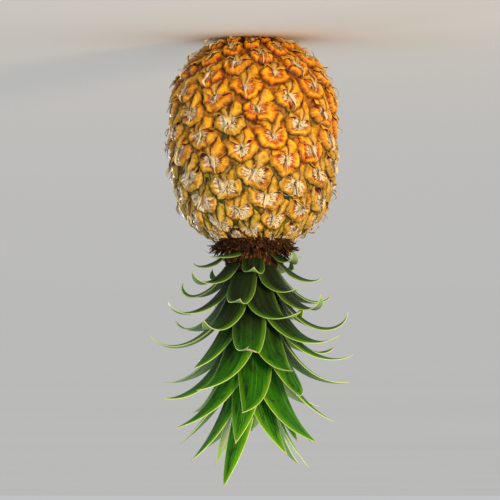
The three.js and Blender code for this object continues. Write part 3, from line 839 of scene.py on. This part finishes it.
def grow_scales():
    """Scale leaves in a spiral: the first ones lie flat on the fruit, the last ones clasp the stem."""
    index, along, across = blade_grid(0, SCALE_COUNT, SCALE_ROWS, SCALE_COLUMNS)
    share = (index + 0.5) / SCALE_COUNT
    turn = LEAF_TURN * index + 0.5 * (draw(index, 4) - 0.5)
    # clasp is 0 for a scale that spreads over the fruit, and 1 for one that clasps the stem.
    clasp = smooth(SPREADING_SHARE, 0.72, share)
    foot_height = 0.2 + 8.0 * share + 4.0 * (share - SPREADING_SHARE) * clasp
    spread_radius = NECK_RADIUS - 1.5 - 6.5 * share
    foot_radius = spread_radius + (stem_radius(foot_height) + 0.2 - spread_radius) * clasp
    length = 6.0 + 6.0 * draw(index, 5)
    spread_lean = 68.0 - 34.0 * share - 24.0 * draw(index, 6)
    lean = np.radians(spread_lean + (4.0 + 8.0 * draw(index, 6) - spread_lean) * clasp)
    curl = np.radians(50.0 * (draw(index, 63) - 0.35)) * (1.0 - 0.8 * clasp)
    radius = foot_radius + length * along * np.sin(lean + curl * along)
    height = foot_height + length * along * np.cos(lean + curl * along)
    half = (2.6 + 3.0 * draw(index, 64)) * (1.0 - along**1.6) * (0.7 + 0.3 * np.sqrt(along)) + 0.12
    height = height + 1.3 * (half / 5.0) * across**2
    sway = 0.25 * (draw(index, 65) - 0.5) * along**2
    middle = around(radius + 0.0 * across, turn + sway + half * across / radius, height)
    middle[..., 2] += SEAT
    offset = 0.5 * SCALE_THICK * square_to(middle)
    blades("neck_scales", middle, offset, fibre_material, {})


grow_scales()


def grow_neck_hairs():
    """Loose brown hairs that stick out of the scales all round the neck."""
    random = np.random.default_rng(83)
    s = np.linspace(0.0, 1.0, THREAD_ROWS)[None, :]
    turn = random.uniform(0.0, 2.0 * math.pi, (NECK_HAIRS, 1))
    length = random.uniform(4.0, 11.0, (NECK_HAIRS, 1))
    lean = random.uniform(0.5, 2.0, (NECK_HAIRS, 1)) + random.uniform(-1.2, 1.2, (NECK_HAIRS, 1)) * s
    height = random.uniform(0.5, 9.0, (NECK_HAIRS, 1)) + length * s * np.cos(lean)
    radius = random.uniform(20.0, 26.0, (NECK_HAIRS, 1)) + length * s * np.sin(lean)
    turn = turn + random.uniform(-0.25, 0.25, (NECK_HAIRS, 1)) * s
    paths = around(radius, turn, np.maximum(height, 0.4)) + [0.0, 0.0, SEAT]
    radii = HAIR_THICK * (1.0 - 0.7 * s) * np.ones((NECK_HAIRS, 1))
    tubes("neck_hairs", paths, radii, fibre_material)


grow_neck_hairs()

# The leaves: 56 stiff, channelled blades that grow from the stem in a spiral, the lowest short
# and curled down, the inner ones long and upright. They are waxy green leaf with a pale margin,
# and dry at the tips.
LEAF_COUNT = 56
LEAF_FIRST_TURN = math.radians(32.5)
LEAF_FOOT_HEIGHT = 7.5
LEAF_CLIMB = 1.2
# Each table goes by the leaf's order, from 0 for the lowest to 55: mm, and degrees off upright.
LEAF_LENGTH = [[0, 17], [6, 35], [14, 53], [26, 78], [38, 93], [46, 97], [55, 106]]
LEAF_START_LEAN = [[0, 62], [10, 42], [22, 30], [40, 17], [55, 9]]
LEAF_END_LEAN = [[0, 102], [8, 116], [26, 112], [38, 90], [46, 62], [55, 40]]
LEAF_TIP_HOOK = [[0, 50], [13, 50], [19, 25], [30, 0], [55, -5]]
LEAF_HALF_WIDTH = [[0, 7], [6, 9], [14, 11.5], [26, 13], [40, 14], [48, 13], [55, 11.5]]
LEAF_WIDEST_TURN = math.radians(39.0)
LEAF_CHANNEL = 1.25
LEAF_THICK = 1.3
LEAF_MARGIN_THICK = 0.4
LEAF_ROWS = 60
LEAF_COLUMNS = 14
TORN_LEAF = 26
# By leaf: degrees that its tip swings round the stem, and its length as a share of the usual.
LEAF_HABITS = {
    0: (18, 1.15), 2: (0, 1.2), 5: (4, 1), 12: (12, 1.08), 13: (-17, 0.96), 15: (8, 1.05),
    18: (-14, 0.92), 20: (0, 1.1), 21: (-12, 0.95), 23: (-12, 1.1), 24: (0, 1.08), 26: (-17, 1),
    29: (-10, 0.9), 31: (-8, 0.94), 34: (14, 0.95), 36: (16, 0.94), 37: (-18, 0.97), 39: (13, 1),
    41: (0, 0.95), 42: (15, 1), 44: (-14, 1.12), 45: (0, 1.05), 47: (10, 0.97), 48: (-18, 0.96),
    49: (10, 0.85), 50: (-20, 1), 51: (10, 0.96), 52: (-18, 0.82), 53: (0, 0.93), 54: (14, 0.9),
}


def leaf_spine(order, length, t):
    """Radius and height over the seat, at a share of a leaf's length, walked out from the stem."""
    foot = LEAF_FOOT_HEIGHT + LEAF_CLIMB * order
    start = np.radians(ramp(LEAF_START_LEAN, order))
    end = np.radians(ramp(LEAF_END_LEAN, order))
    hook = np.radians(ramp(LEAF_TIP_HOOK, order))
    steps = 24
    step = length * t / steps
    radius = stem_radius(foot) + 0.3 + LEAF_THICK / 2 + 0.5
    height = foot
    for i in range(steps):
        share = (i + 0.5) * step / ramp(LEAF_LENGTH, order)
        lean = start + (end - start) * share**2 + hook * share**7
        radius = radius + np.sin(lean) * step
        height = height + np.cos(lean) * step
    return radius, height


def leaf_length(index):
    stretch = LEAF_HABITS.get(index, (0, 1))[1]
    return ramp(LEAF_LENGTH, index) * stretch * (0.94 + 0.12 * draw(index, 7))


def leaf_half_width(index, t):
    foot = 0.82 + 0.18 * np.minimum(1.0, t / 0.35)
    return ramp(LEAF_HALF_WIDTH, index) * foot * (1.0 - t**2.7)


def leaf_point(index, t, side):
    """A point of a leaf's middle surface, where side runs from -1 to 1 across it."""
    swing = LEAF_HABITS.get(index, (0, 1))[0]
    widest = ramp(LEAF_HALF_WIDTH, index)
    half = leaf_half_width(index, t)
    opening = 0.3 + 0.7 * np.minimum(1.0, t / 0.35)
    channel = LEAF_CHANNEL * opening * (half / widest) ** 2 * side * side
    twist = 1.6 * (draw(index, 8) - 0.5) * t * (half / widest) * side
    droop = 2.4 * (draw(index, 9) - 0.5) * t * t
    sway = math.radians(swing + 20.0 * (draw(index, 10) - 0.5)) * t * t
    radius, height = leaf_spine(index + channel + twist + droop, leaf_length(index), t)
    reach = np.minimum(np.maximum(half, 0.3) / radius, LEAF_WIDEST_TURN)
    turn = LEAF_FIRST_TURN + LEAF_TURN * index
    return around(radius, turn + sway + reach * side, SEAT + height)


def waxy_leaf():
    """Waxy leaf: fine veins along it, grey bloom on the old ones, dark blotches, a bright margin,
    and a dry tip. Its inner face is silvery. Painted light lies in its colour too: painted shade
    towards the foot, a painted glow near the margin and the tip, and a paler inner face."""
    material, tree = new_material("waxy pineapple leaf")
    along, margin_mm, age, inner = (
        add_node(tree, "Attribute", result="Fac", attribute_name=name)
        for name in ("along", "margin_mm", "age", "inner")
    )
    lane = add_node(tree, "Attribute", result="Vector", attribute_name="lane")
    # Veins about 0.9 mm apart that run the whole length of the blade.
    veins_at = add_node(tree, "Mapping", {"Vector": lane, "Scale": (1.1, 0.012, 1.0)})
    veins = add_node(
        tree, "TexNoise", {"Vector": veins_at, "Scale": 1.0, "Detail": 3.0, "Roughness": 0.6}
    )
    # Clouds of bloom and old bruises, 6 mm wide and 15 mm long.
    clouds_at = add_node(tree, "Mapping", {"Vector": lane, "Scale": (0.16, 0.06, 1.0)})
    clouds = add_node(
        tree, "TexNoise",
        {"Vector": clouds_at, "Scale": 1.0, "Detail": 6.0, "Roughness": 0.66, "Distortion": 0.4},
    )
    fresh = add_node(
        tree, "ValToRGB", {"Fac": veins}, [(0.30, "#1b5408"), (0.52, "#2d780a"), (0.72, "#4ea816")]
    )
    # Dark grey-green: grey bloom on the old leaves, and painted shade that darkens each leaf towards its foot
    # by the stem.
    dusty_and_shaded = add_node(
        tree, "ValToRGB", {"Fac": veins}, [(0.30, "#121d0d"), (0.52, "#1c2e16"), (0.72, "#304628")]
    )
    age_and_foot_shade = add_node(tree, "Math", {0: along, 1: -0.7, 2: age}, operation="MULTIPLY_ADD")
    bloom_and_shade = add_node(tree, "Math", {0: clouds, 1: 0.5, 2: age_and_foot_shade}, operation="MULTIPLY_ADD")
    is_dusty_and_shaded = add_node(tree, "MapRange", {"Value": bloom_and_shade, "From Min": 0.02, "From Max": 0.6}, **SOFT)
    bruised = add_node(
        tree, "MapRange", {"Value": clouds, "From Min": 0.51, "From Max": 0.66, "To Max": 0.8}, **SOFT
    )

    # The inner face has a silvery down that the outer face has lost, and old leaves have less. Its
    # colour is also painted paler than the down alone, for the light that falls on it.
    silver_and_lit = add_node(
        tree, "ValToRGB", {"Fac": veins}, [(0.30, "#84a072"), (0.52, "#acc49c"), (0.72, "#d2e0c8")]
    )
    down_left = add_node(tree, "Math", {0: age, 1: -0.35, 2: 0.85}, operation="MULTIPLY_ADD")
    downy_and_lit = add_node(tree, "Math", {0: inner, 1: down_left}, operation="MULTIPLY")

    # The margin: a thin lime line, with a wider yellow-green band of painted glow inside it. Both
    # are painted brighter towards the tip and on the young leaves, where more light falls.
    uneven = add_node(tree, "Math", {0: clouds, 1: 0.5, 2: margin_mm}, operation="MULTIPLY_ADD")
    margin = add_node(tree, "MapRange", {"Value": uneven, "From Min": 0.8, "From Max": 0.5}, **SOFT)
    bright = add_node(
        tree, "MapRange",
        {"Value": age_and_foot_shade, "From Min": 0.85, "From Max": -0.1, "To Min": 0.1, "To Max": 0.95},
    )
    near_margin = add_node(
        tree, "MapRange", {"Value": uneven, "From Min": 4.2, "From Max": 0.7, "To Max": 0.62}
    )
    painted_glow = add_node(tree, "Math", {0: near_margin, 1: bright}, operation="MULTIPLY")
    lime = add_node(tree, "Math", {0: margin, 1: bright}, operation="MULTIPLY")
    dry_at = add_node(tree, "Math", {0: clouds, 1: 0.05, 2: along}, operation="MULTIPLY_ADD")
    dry = add_node(tree, "MapRange", {"Value": dry_at, "From Min": 0.985, "From Max": 1.01})
    green = fresh
    layers = [(is_dusty_and_shaded, dusty_and_shaded), (bruised, "#16280b"), (downy_and_lit, silver_and_lit)]
    layers += [(painted_glow, "#79c414"), (lime, "#cdeb96"), (dry, "#cfc49c")]
    for share, layer in layers:
        green = add_node(tree, "Mix", {0: share, 6: green, 7: layer}, result=2, data_type="RGBA")
    bump = add_node(tree, "Bump", {"Strength": 0.15, "Distance": 0.3 * MM, "Height": veins})
    gloss = add_node(
        tree, "MapRange", {"Value": clouds, "From Min": 0.3, "From Max": 0.7, "To Min": 0.48, "To Max": 0.62}
    )
    surface = add_node(
        tree, "BsdfPrincipled",
        {"Base Color": green, "Roughness": gloss, "Specular IOR Level": 0.25, "Normal": bump},
    )
    add_node(tree, "OutputMaterial", {"Surface": surface})
    return material


leaf_material = waxy_leaf()


def torn_end(side):
    """Where the blade of the one torn leaf ends, in a ragged line across it."""
    return 0.86 + 0.05 * side + 0.018 * np.sin(9.0 * side) + 0.012 * np.sin(23.0 * side)


def grow_leaf(index):
    along = np.linspace(0.0, 1.0, LEAF_ROWS + 1)[:, None] ** 0.9
    side = np.sin(np.linspace(-1.0, 1.0, LEAF_COLUMNS + 1) * math.pi / 2.0)[None, :]
    t = along * (torn_end(side) if index == TORN_LEAF else 1.0)
    middle = leaf_point(index, t, side)
    # The way out of the blade, from its slopes along and across a little inside its ends.
    small = 0.02
    safe = np.clip(t, small, 0.97)
    ahead = leaf_point(index, safe + small, side) - leaf_point(index, safe - small, side)
    beside = leaf_point(index, safe, side + small) - leaf_point(index, safe, side - small)
    outward = np.cross(beside, ahead)
    outward /= np.linalg.norm(outward, axis=-1, keepdims=True)
    thick = LEAF_THICK + (LEAF_MARGIN_THICK - LEAF_THICK) * np.maximum(t**3, side**4)
    offset = 0.5 * thick[..., None] * outward
    half = np.maximum(leaf_half_width(index, t), 0.3)
    lane = [side * half, t * leaf_length(index) + 0.0 * side, 300.0 * draw(index, 71) + 0.0 * t * side]
    values = {
        "along": along,
        "lane": np.stack(lane, axis=-1)[None],
        "margin_mm": (1.0 - np.abs(side)) * half + 0.0 * t,
        "age": 1.0 - index / (LEAF_COUNT - 1),
    }
    number = str(index + 1).zfill(2)
    blades(
        "leaf_blade_" + number, middle[None], offset[None], leaf_material, values,
        replaced=["leaf_" + number], two_faced=True,
    )


for leaf in range(LEAF_COUNT):
    grow_leaf(leaf)

# The heart of the crown: the youngest leaves, still rolled round the bud of the stem and each
# other. They are the same waxy leaf, thinner and upright.
HEART_COUNT = 7
HEART_ROWS = 24
HEART_COLUMNS = 10
HEART_LENGTH = 62.0
HEART_SHORTER = 5.0  # each leaf than the one outside it
HEART_HALF_WIDTH = 6.4
HEART_THICK = 0.7


def grow_heart():
    young, t, side = blade_grid(0, HEART_COUNT, HEART_ROWS, HEART_COLUMNS)
    foot_height = STEM_HEIGHT - 0.5 + 1.1 * young
    foot_radius = STEM_TOP_RADIUS + 0.9 - 0.42 * young
    length = HEART_LENGTH - HEART_SHORTER * young
    half = HEART_HALF_WIDTH * (0.7 + 0.3 * np.minimum(1.0, t / 0.3)) * (1.0 - t**2.4) + 0.15
    # Each leaf rolls in over the bud, and the outer ones open again at the tip.
    opening = np.maximum(7.0 - 2.2 * young, 0.0) * t**2
    rolled = foot_radius * (1.0 - 0.7 * t**1.3) + 0.9 * np.sin(math.pi * t)
    radius = rolled + opening + 0.5 * side**2
    turn = LEAF_FIRST_TURN + LEAF_TURN * (LEAF_COUNT + young)
    reach = np.minimum(half / foot_radius, 1.15)
    middle = around(radius, turn + reach * side, SEAT + foot_height + length * t)
    offset = 0.5 * HEART_THICK * square_to(middle)
    lane = [side * half + 0.0 * young, t * length + 0.0 * side, 300.0 * draw(young, 71) + 0.0 * t * side]
    values = {
        "along": t,
        "lane": np.stack(lane, axis=-1),
        "margin_mm": (1.0 - np.abs(side)) * half,
        "age": 0.0 * young,
    }
    blades("heart_leaves", middle, offset, leaf_material, values, two_faced=True)


grow_heart()

# The stump of the stalk, where the fruit was cut from its plant: pale, stringy wood set flush
# into the base, dry on its cut face.
STALK_RADIUS = 13.0
STALK_HEIGHT = 12.0
STALK_BEVELS = (0.5, 0.8)  # round the cut face, and at the end inside the fruit


def cut_wood():
    """Cut fibrous stalk: matt straw colour with darker strings seen end on."""
    material, tree = new_material("dry cut stalk")
    where = add_node(tree, "TexCoord", result="Object")
    # Strings about 1.2 mm apart.
    strings = add_node(tree, "TexVoronoi", {"Vector": where, "Scale": 800.0})
    colour = add_node(
        tree, "ValToRGB", {"Fac": strings}, [(0.10, "#5a3c1c"), (0.30, "#8f7145"), (0.60, "#b79a68")]
    )
    bump = add_node(tree, "Bump", {"Strength": 0.5, "Distance": 0.4 * MM, "Height": strings})
    surface = add_node(
        tree, "BsdfPrincipled", {"Base Color": colour, "Roughness": 0.85, "Normal": bump}
    )
    add_node(tree, "OutputMaterial", {"Surface": surface})
    return material


cut_bevel, end_bevel = STALK_BEVELS
stalk_face = [[radius, 0.0] for radius in np.linspace(0.0, STALK_RADIUS - cut_bevel, 10)]
stalk_wall = [[STALK_RADIUS, height] for height in np.linspace(cut_bevel, STALK_HEIGHT - end_bevel, 8)]
stalk_end = [[STALK_RADIUS - end_bevel, STALK_HEIGHT], [0.0, STALK_HEIGHT]]
stalk_outline = stalk_face + stalk_wall + stalk_end
turn_profile(
    "stalk_stump", stalk_outline, cut_wood(), ["stalk"], sides=64, roughness=0.1
)

# The scar of the base: round the stump the last small scales are pressed flat and withered. They
# are dry plant fibre like the neck, and close the base up to the skin of the fruit.
SCAR_INNER = STALK_RADIUS + 0.3
SCAR_FLAT = 18.5
SCAR_OUTER = 25.0
SCAR_RISE = 3.2
SCAR_TOP = 5.0
scar_foot = [[SCAR_INNER, 0.0], [SCAR_FLAT, 0.0], [SCAR_OUTER, SCAR_RISE]]
scar_back = [[SCAR_OUTER, SCAR_TOP], [SCAR_INNER, SCAR_TOP], [SCAR_INNER, 0.0]]
turn_profile(
    "base_scar", scar_foot + scar_back, fibre_material, ["fruit"], sides=96, roughness=0.15
)

# The studio: a plain pale floor that runs out of sight, an even pale surround, and soft boxes.
# The camera has a long lens and hangs upside down, as the picture has the crown downwards.
FLOOR_HALF = 40.0


def pale_floor():
    """Matt studio paper: nearly white, with hardly any texture."""
    material, tree = new_material("pale studio floor")
    where = add_node(tree, "TexCoord", result="Object")
    # Clouds 2 m across, hardly darker than the rest.
    grain = add_node(tree, "TexNoise", {"Vector": where, "Scale": 0.5, "Detail": 2.0})
    colour = add_node(tree, "ValToRGB", {"Fac": grain}, [(0.3, "#f3f2ef"), (0.7, "#f6f5f2")])
    surface = add_node(
        tree, "BsdfPrincipled", {"Base Color": colour, "Roughness": 0.95, "Specular IOR Level": 0.0}
    )
    add_node(tree, "OutputMaterial", {"Surface": surface})
    return material


corner_signs = ((-1, -1), (1, -1), (1, 1), (-1, 1))
floor_corners = [(across * FLOOR_HALF, back * FLOOR_HALF, 0.0) for across, back in corner_signs]
floor_mesh = bpy.data.meshes.new("floor")
floor_mesh.from_pydata(floor_corners, [], [(0, 1, 2, 3)])
floor_mesh.materials.append(pale_floor())
floor = bpy.data.objects.new("floor", floor_mesh)
bpy.context.scene.collection.objects.link(floor)

world = bpy.data.worlds.new("studio")
world.use_nodes = True
world.node_tree.nodes.clear()
surround = add_node(world.node_tree, "Background", {"Color": "#f3f4f6", "Strength": 0.6})
add_node(world.node_tree, "OutputWorld", {"Surface": surround})
bpy.context.scene.world = world


def soft_box(name, place, target, size, power, code, spread):
    """A square soft box with a grid, at a place in metres, that points at a target."""
    light = bpy.data.lights.new(name, "AREA")
    light.shape = "SQUARE"
    light.size = size
    light.energy = power
    light.spread = math.radians(spread)
    light.color = linear(code)[:3]
    box = bpy.data.objects.new(name, light)
    box.location = place
    box.visible_camera = False
    box.rotation_mode = "QUATERNION"
    box.rotation_quaternion = Vector(np.subtract(target, place)).to_track_quat("-Z", "Y")
    bpy.context.scene.collection.objects.link(box)


BOX_SIZE = 0.45
soft_box("warm_front", (-1.1, -2.15, 0.26), (0.0, 0.0, 0.09), BOX_SIZE, 22.5, "#ffd798", spread=120.0)
soft_box("behind", (0.50, 1.00, 0.36), (0.0, 0.0, 0.30), BOX_SIZE, 0.45, "#f8fff2", spread=20.0)

LENS = 400.0
SENSOR = 36.0
VIEW_WIDTH = 0.355
VIEW_MIDDLE = (0.0023, 0.0, 0.1505)
CAMERA_ELEVATION = math.radians(3.0)
camera_data = bpy.data.cameras.new("camera")
camera_data.lens = LENS
camera_data.sensor_width = SENSOR
camera_data.clip_end = 100.0
camera = bpy.data.objects.new("camera", camera_data)
distance = VIEW_WIDTH * LENS / SENSOR
back = np.array([0.0, -math.cos(CAMERA_ELEVATION), math.sin(CAMERA_ELEVATION)])
camera.location = np.array(VIEW_MIDDLE) + back * distance
camera.rotation_euler = (math.pi / 2.0 - CAMERA_ELEVATION, 0.0, 0.0)
camera.rotation_euler.rotate_axis("Z", math.pi)
bpy.context.scene.collection.objects.link(camera)
bpy.context.scene.camera = camera
bpy.context.scene.view_settings.view_transform = "Standard"
